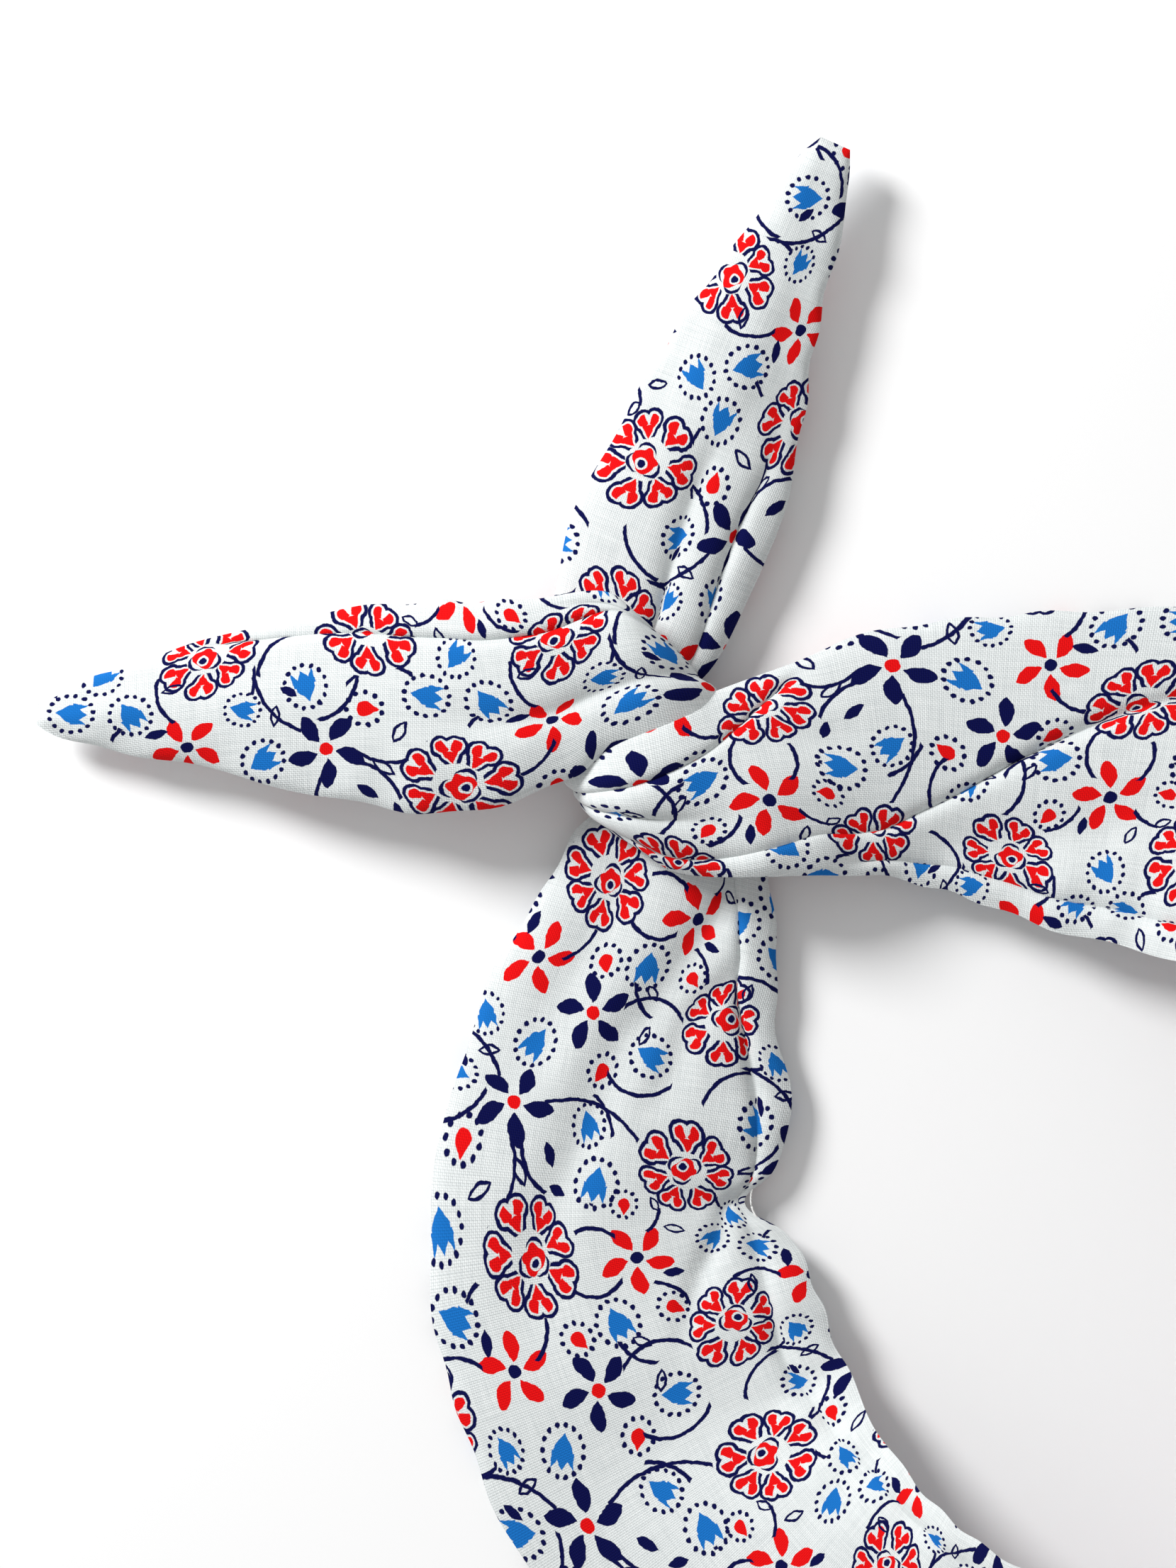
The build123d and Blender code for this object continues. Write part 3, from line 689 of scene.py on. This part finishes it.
def printed_cotton():
    """The cloth: its weave, with painted shade between the threads, and the print in three inks."""
    material, shader, net = new_material("printed_cotton_cloth")
    flat = net.scaled(net.node("ShaderNodeUVMap", {}, uv_map="cloth").outputs[0], 1000.0)
    uneven = net.vector("SUBTRACT", net.noise(flat, 0.7, 2.0).outputs["Color"], (0.5, 0.5, 0.5))
    p = net.vector("ADD", flat, net.scaled(uneven, PRINT_NUDGE))

    peony_lines, peony_red, peony_reach = peony(net, p)
    navy_star, navy_star_dot = star(net, p, NAVY_STARS)
    red_star, red_star_dot = star(net, p, RED_STARS)
    leaf, leaf_dots, leaf_reach = tulip_leaf(net, p)
    drop, drop_dots = dotted_drop(net, p)
    leaf_edge = net.sum("ABSOLUTE", net.sum("ADD", pointed(net, p, OPEN_LEAVES, 2.4, 1.15), 0.25))
    open_leaf = net.sum("SUBTRACT", leaf_edge, 0.3)
    solid = pointed(net, p, SOLID_DROPS, 2.3, 1.0)
    off_peony = net.sum("SUBTRACT", PEONY_CLEAR, peony_reach)
    off_leaf = net.sum("SUBTRACT", LEAF_CLEAR, leaf_reach)
    behind = net.most(stems(net, p), off_peony, off_leaf)
    navy = net.least(peony_lines, navy_star, red_star_dot, leaf_dots, drop_dots, behind, open_leaf, solid)
    red = net.least(peony_red, red_star, navy_star_dot, drop)

    height = weave(net, net.scaled(flat, 1 / THREAD))
    slub = net.noise(net.vector("MULTIPLY", flat, (*SLUB, 1)), 1.0, 1.0).outputs[0]
    slub_weft = net.noise(net.vector("MULTIPLY", flat, (*SLUB[::-1], 1)), 1.0, 1.0).outputs[0]
    yarn = net.sum("MULTIPLY", net.sum("ADD", slub, slub_weft), SLUB_TONE)
    # The weave's height paints shade, darker between the threads; the slubs are the yarn's own uneven tone.
    weave_shade_and_yarn_tone = net.sum("ADD", net.sum("MULTIPLY", height, WEAVE_SHADE), yarn)
    colour = net.mix(weave_shade_and_yarn_tone, CLOTH_DARK_YARN_AND_SHADE, CLOTH_LIGHT)
    for shape, ink in ((leaf, BLUE), (red, RED), (navy, NAVY)):
        colour = net.mix(net.cover(shape), colour, ink)
    # Painted shade in the gaps between the threads, which also greys the inks as the cloth's ground shows
    # through them.
    ground_and_gap_shade = net.sum("MULTIPLY", net.sum("SUBTRACT", 1.0, height), GROUND_AND_GAP_SHADE)
    net.put(net.mix(ground_and_gap_shade, colour, CLOTH_DARK_YARN_AND_SHADE), shader, "Base Color")
    bump = net.node("ShaderNodeBump", {"Height": height, "Strength": 0.5, "Distance": 0.00012})
    net.put(bump.outputs[0], shader, "Normal")
    shader.inputs["Roughness"].default_value = 0.82
    shader.inputs["Specular IOR Level"].default_value = 0.03
    shader.inputs["Sheen Weight"].default_value = 0.01
    shader.inputs["Sheen Roughness"].default_value = 0.6
    return material


def plain(name, light, dark, detail, bump, rough, metal=0.0):
    """A material of one substance. Its colour, gloss and height follow the pattern that detail(net) makes;
    its low places take the dark colour, which for the thread's plies and the tape's weave is painted shade in
    their hollows.
    """
    material, shader, net = new_material(name)
    pattern = detail(net)
    net.put(net.mix(pattern, dark, light), shader, "Base Color")
    net.put(net.sum("MULTIPLY_ADD", pattern, -0.2, rough + 0.1), shader, "Roughness")
    raised = net.node("ShaderNodeBump", {"Height": pattern, "Strength": 0.6, "Distance": bump})
    net.put(raised.outputs[0], shader, "Normal")
    shader.inputs["Metallic"].default_value = metal
    return material


def place_on(net):
    """The place on the piece, in metres."""
    return net.node("ShaderNodeTexCoord", {}).outputs["Object"]


def plies(net):
    """The turns of a twisted thread, about 0.3 mm from one to the next."""
    turns = {"Vector": place_on(net), "Scale": 1050.0, "Distortion": 1.2}
    return net.node("ShaderNodeTexWave", turns, bands_direction="DIAGONAL").outputs[1]


def drawn(net):
    """Fine marks left by drawing the wire."""
    return net.noise(place_on(net), 2400.0, 3.0).outputs[0]


def taped(net):
    """The weave of cloth tape, at 0.4 mm from one thread to the next."""
    return weave(net, net.scaled(place_on(net), 2500.0))


cloth = printed_cotton()
# The darker colour of the sewing thread and of the tape is painted shade in the hollows between plies and
# threads; the steel's darker colour follows its drawing marks.
thread = plain("white_sewing_thread", (0.86, 0.86, 0.84), (0.62, 0.62, 0.60), plies, 0.00006, 0.7)
steel = plain("soft_steel_wire", (0.56, 0.56, 0.55), (0.42, 0.42, 0.41), drawn, 0.00001, 0.34, metal=1.0)
tape = plain("wire_tape_cloth", (0.82, 0.80, 0.76), (0.62, 0.60, 0.56), taped, 0.00005, 0.75)
for node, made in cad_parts.items():
    look = steel if node.endswith("_wire") else tape if node.endswith("_tape") else thread
    if not node.endswith("_panel"):
        made.data.materials.clear()
        made.data.materials.append(look)

# ---------------------------------------------------------------------------------------------
# Pieces. Each cloth piece is one panel of one stretch of the tube


def vertex_normals(grid):
    """The grid's normals, from the whole of a panel, so that its pieces meet without a crease."""
    ds = np.gradient(grid, axis=0)
    dv = np.gradient(grid, axis=1)
    n = np.cross(dv, ds)
    length = np.linalg.norm(n, axis=2, keepdims=True)
    return n / np.maximum(length, 1e-9)


def add_piece(name, points, faces, material):
    """A smooth mesh of one material, in the scene."""
    mesh = bpy.data.meshes.new(name)
    mesh.from_pydata(points, [], faces)
    mesh.polygons.foreach_set("use_smooth", np.ones(len(faces), dtype=bool))
    mesh.materials.append(material)
    piece = bpy.data.objects.new(name, mesh)
    bpy.context.scene.collection.objects.link(piece)
    return piece


def panel_piece(name, grid, flat, first, last, flip, offset, material):
    """One panel of the tube from ring first to ring last, with its place on the flat cloth as its UV map."""
    part, uv = grid[first : last + 1], flat[first : last + 1]
    rows, cols = part.shape[:2]
    index = np.arange(rows * cols).reshape(rows, cols)
    a, b, c, d = index[:-1, :-1], index[:-1, 1:], index[1:, 1:], index[1:, :-1]
    quads = np.stack([a, b, c, d] if flip else [a, d, c, b], axis=-1).reshape(-1, 4)
    piece = add_piece(name, (part.reshape(-1, 3) * MM).tolist(), quads.tolist(), material)
    mesh = piece.data
    layer = mesh.uv_layers.new(name="cloth")
    corner = np.empty(len(mesh.loops), dtype=np.int32)
    mesh.loops.foreach_get("vertex_index", corner)
    where = (uv.reshape(-1, 2) + np.array(offset))[corner] * MM
    layer.data.foreach_set("uv", where.astype(np.float32).ravel())
    normal = vertex_normals(grid)[first : last + 1].reshape(-1, 3) * (1 if flip else -1)
    mesh.update()
    mesh.normals_split_custom_set_from_vertices(normal.tolist())
    return piece


def ring_at(s):
    """The ring nearest to a distance along the tube."""
    return int(np.argmin(abs(ring_s - s)))


# A piece's moves are the body it rides on, or the two bodies it would bend between, the joint there, the
# direction across the joint, and how far either side of it the cloth would bend, in millimetres. A piece
# given two bodies is not bent here: it only has its place baked into its mesh.
BACK_MOVES = ("knot", "back_of_loop", "back_bend", (SQUARE, -SQUARE, 0), 7.0)
LEFT_EAR_MOVES = ("knot", "left_ear", "left_ear_bend", (-1, 0, 0), 5.0)
LEFT_TIP_MOVES = ("left_ear", "left_ear_tip", "left_ear_tip_bend", (-1, 0, 0), 4.5)
UPPER_EAR_MOVES = ("knot", "upper_ear", "upper_ear_bend", (0.384, 0.923, 0), 5.0)
UPPER_TIP_MOVES = ("upper_ear", "upper_ear_tip", "upper_ear_tip_bend", (0.4, 0.917, 0), 4.5)


def move(piece, moves):
    """The piece rides on one body; given two bodies, it only has its place baked into its mesh and rides on
    neither.
    """
    if isinstance(moves, str):
        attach(piece, moves)
        return
    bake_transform(piece)


end = ring_s[-1]
tip_joint, upper_tip_joint = s_of(LEFT_EAR, 5), s_of(UPPER_EAR, 4)
left_tip_split = (tip_joint + s_of(LEFT_EAR, 8)) / 2
upper_tip_split = (s_of(UPPER_EAR, 1) + upper_tip_joint) / 2
mid_knot_left, mid_knot_right = s_of(LEFT_KNOT, 2), s_of(RIGHT_KNOT, 2)
low_split, right_split = s_of(LOWER_BAND, 2), s_of(RIGHT_BAND, 2)
loop_from, loop_to = s_of(LOOP, 0), s_of(LOOP, -1)
BACK_LENGTHS = 6  # the back of the loop's length is parted at each sixth
splits = [loop_from + (loop_to - loop_from) * k / BACK_LENGTHS for k in range(1, BACK_LENGTHS)]
# name, from and to along the tube, what the CAD panels that it stands for are called, and how it moves
STRETCHES = [
    ("left_ear_tip", 0, left_tip_split, "left_ear_tip", LEFT_TIP_MOVES),
    ("left_ear", left_tip_split, mid_knot_left, "left_ear", LEFT_EAR_MOVES),
    ("left_knot", mid_knot_left, low_split, "lower_band", "knot"),
    ("lower_band", low_split, splits[0], None, BACK_MOVES),
    ("back_left", splits[0], splits[1], "back_band", "back_of_loop"),
    ("back_bottom", splits[1], splits[2], None, "back_of_loop"),
    ("back_right", splits[2], splits[3], None, "back_of_loop"),
    ("back_top", splits[3], splits[4], None, "back_of_loop"),
    ("right_band", splits[4], right_split, None, BACK_MOVES),
    ("right_knot", right_split, mid_knot_right, "right_band", "knot"),
    ("upper_ear", mid_knot_right, upper_tip_split, "upper_ear", UPPER_EAR_MOVES),
    ("upper_ear_tip", upper_tip_split, end, "upper_ear_tip", UPPER_TIP_MOVES),
]
BACK_PRINT = (27.0, 19.0)  # where the print falls on the back panel, in millimetres from the front's

((front_grid, flat_front), (back_grid, flat_back)), panel_shapes = build_panels()
for name, start, stop, replaced, moves in STRETCHES:
    first, last = ring_at(start), ring_at(stop)
    for word, grid, flat, flip, offset in (
        ("front", front_grid, flat_front, True, (0.0, 0.0)),
        ("back", back_grid, flat_back, False, BACK_PRINT),
    ):
        piece = panel_piece(f"{name}_{word}_cloth", grid, flat, first, last, flip, offset, cloth)
        if replaced:
            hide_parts(f"{replaced}_{word}_panel")
        move(piece, moves)

CORD_SIDES = 8
WIRE_R, THREAD_R = 0.65, 0.18  # radius of the wire and of the sewing thread, in millimetres
NOT_ALONG = (0.31, 0.52, 0.8)  # no cord runs this way


def cord_piece(name, lines, radius, material, replaced, moves):
    """Round cords along some lines, as one piece."""
    points, quads = [], []
    for line in lines:
        along = np.gradient(line, axis=0)
        along /= np.linalg.norm(along, axis=1)[:, None]
        side = np.cross(along, NOT_ALONG)
        side /= np.linalg.norm(side, axis=1)[:, None]
        other = np.cross(along, side)
        base = len(points)
        for centre, a, b in zip(line, side, other):
            for k in range(CORD_SIDES):
                turn = 2 * math.pi * k / CORD_SIDES
                points.append((centre + radius * (a * math.cos(turn) + b * math.sin(turn))) * MM)
        for i in range(len(line) - 1):
            for k in range(CORD_SIDES):
                a, b = base + i * CORD_SIDES + k, base + i * CORD_SIDES + (k + 1) % CORD_SIDES
                quads.append((a, b, b + CORD_SIDES, a + CORD_SIDES))
        last = base + (len(line) - 1) * CORD_SIDES
        quads.append(tuple(range(base + CORD_SIDES - 1, base - 1, -1)))
        quads.append(tuple(range(last, last + CORD_SIDES)))
    piece = add_piece(name, [tuple(p) for p in points], quads, material)
    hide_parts(replaced)
    move(piece, moves)
    return piece


# The CAD model's wire and thread lie inside its own narrower tube. From tip joint to tip joint these stand
# for them and follow the cloth. The two tips keep the CAD model's own wire, tape and thread.
THREAD_IN = 4.0  # how far in from the tube's edge the seams' thread runs, in millimetres
GAP = 2.4  # left before a tip's joint
BACK_BEND = 90  # the back bends on the line x - y = -90
BEND_CLEAR = 3.2  # how far before that line the two bands' wire and thread end and the back's begin
past_bend = (rings[:, 0] - rings[:, 1]) / math.sqrt(2) + BACK_BEND / math.sqrt(2)
low_end = ring_s[int(np.argmax(past_bend > -BEND_CLEAR))]
right_start = ring_s[len(rings) - 1 - int(np.argmax(past_bend[::-1] > -BEND_CLEAR))]
INSIDE = [
    ("left_ear", tip_joint + GAP, mid_knot_left, LEFT_EAR_MOVES),
    ("lower_band", mid_knot_left, low_end, "knot"),
    ("back_band", low_end, right_start, "back_of_loop"),
    ("right_band", right_start, mid_knot_right, "knot"),
    ("upper_ear", mid_knot_right, upper_tip_joint - GAP, UPPER_EAR_MOVES),
]


def seam_place(side):
    """Where one seam's thread runs, side -1 or 1, for a tube of a given half width."""
    return lambda half: side * max(half - THREAD_IN, half / 2)


wire_line = between(panel_shapes, lambda half: 0.0)
seam_lines = [between(panel_shapes, seam_place(side)) for side in (-1, 1)]
for name, start, stop, moves in INSIDE:
    part = slice(ring_at(start), ring_at(stop) + 1)
    wire = cord_piece(f"{name}_soft_wire", [wire_line[part]], WIRE_R, steel, f"{name}_wire", moves)
    seams = [line[part] for line in seam_lines]
    rows = cord_piece(f"{name}_seam_stitching", seams, THREAD_R, thread, f"{name}_seam_thread", moves)

# The closing stitches go over the upper edge half way round the back. Their sizes are in millimetres
STITCHES = 11
STITCH_STEP = 3  # rings from one stitch to the next
STITCH_IN, STITCH_OUT = 1.7, 0.25  # how far in from the edge each goes through, and how far out it stands
STITCH_HIGH, STITCH_SLANT = 1.15, 0.55
ROUND_EDGE = np.linspace(-0.95, 0.95, 9) * math.pi / 2  # a little less than half a turn over the edge
middle = ring_at((loop_from + loop_to) / 2)
loops = []
for k in range(STITCHES):
    i = middle + STITCH_STEP * (k - STITCHES // 2)
    reach = rings[i, 3] - STITCH_IN + (STITCH_IN + STITCH_OUT) * np.cos(ROUND_EDGE)
    stand = STITCH_HIGH * np.sin(ROUND_EDGE)
    slant = STITCH_SLANT * np.sin(ROUND_EDGE)[:, None] * np.cross(WIDTH[i], OUT[i])
    loops.append(rings[i, :3] + WIDTH[i] * reach[:, None] + OUT[i] * stand[:, None] + slant)
closing = cord_piece("closing_stitch_thread", loops, THREAD_R, thread, "closing_stitches", "back_of_loop")

# ---------------------------------------------------------------------------------------------
# Floor, light and camera

FRAME_WIDTH = 215.7 * MM  # of the table that the camera sees
CENTRE = Vector((-89.9 * MM, 83.7 * MM, 0))
DISTANCE = 1.2
SENSOR = 36
TABLE = 3  # from the middle of the table to its edge, in metres
TABLE_Z = -0.0004  # just clear of the cloth

table = bpy.data.meshes.new("floor")
corners = [(-TABLE, -TABLE, 0), (TABLE, -TABLE, 0), (TABLE, TABLE, 0), (-TABLE, TABLE, 0)]
table.from_pydata(corners, [], [(0, 1, 2, 3)])
floor = bpy.data.objects.new("floor", table)
bpy.context.scene.collection.objects.link(floor)
paper, shader, _ = new_material("paper")
shader.inputs["Base Color"].default_value = (0.96, 0.96, 0.96, 1)
shader.inputs["Roughness"].default_value = 0.9
table.materials.append(paper)
floor.location.z = TABLE_Z

world = bpy.data.worlds.new("studio")
bpy.context.scene.world = world
world.use_nodes = True
world.node_tree.nodes["Background"].inputs["Color"].default_value = (1, 1, 1, 1)
world.node_tree.nodes["Background"].inputs["Strength"].default_value = 0.46

# Soft daylight from the upper left of the photo, in metres and watts
KEY_AT, KEY_AIM = (-0.85, 0.7, 0.62), (-0.03, 0.03, 0)
key = bpy.data.lights.new("key", "AREA")
key.shape = "DISK"
key.size = 0.4
key.energy = 16.0
lamp = bpy.data.objects.new("key", key)
lamp.location = KEY_AT
lamp.rotation_euler = (Vector(KEY_AIM) - Vector(KEY_AT)).to_track_quat("-Z", "Y").to_euler()
bpy.context.scene.collection.objects.link(lamp)

bpy.context.scene.view_settings.view_transform = "Standard"

camera_data = bpy.data.cameras.new("camera")
camera_data.sensor_fit = "HORIZONTAL"
camera_data.sensor_width = SENSOR
camera_data.lens = SENSOR * DISTANCE / FRAME_WIDTH
camera_data.clip_start = 0.01
camera = bpy.data.objects.new("camera", camera_data)
camera.location = CENTRE + Vector((0, 0, DISTANCE))
bpy.context.scene.collection.objects.link(camera)
bpy.context.scene.camera = camera
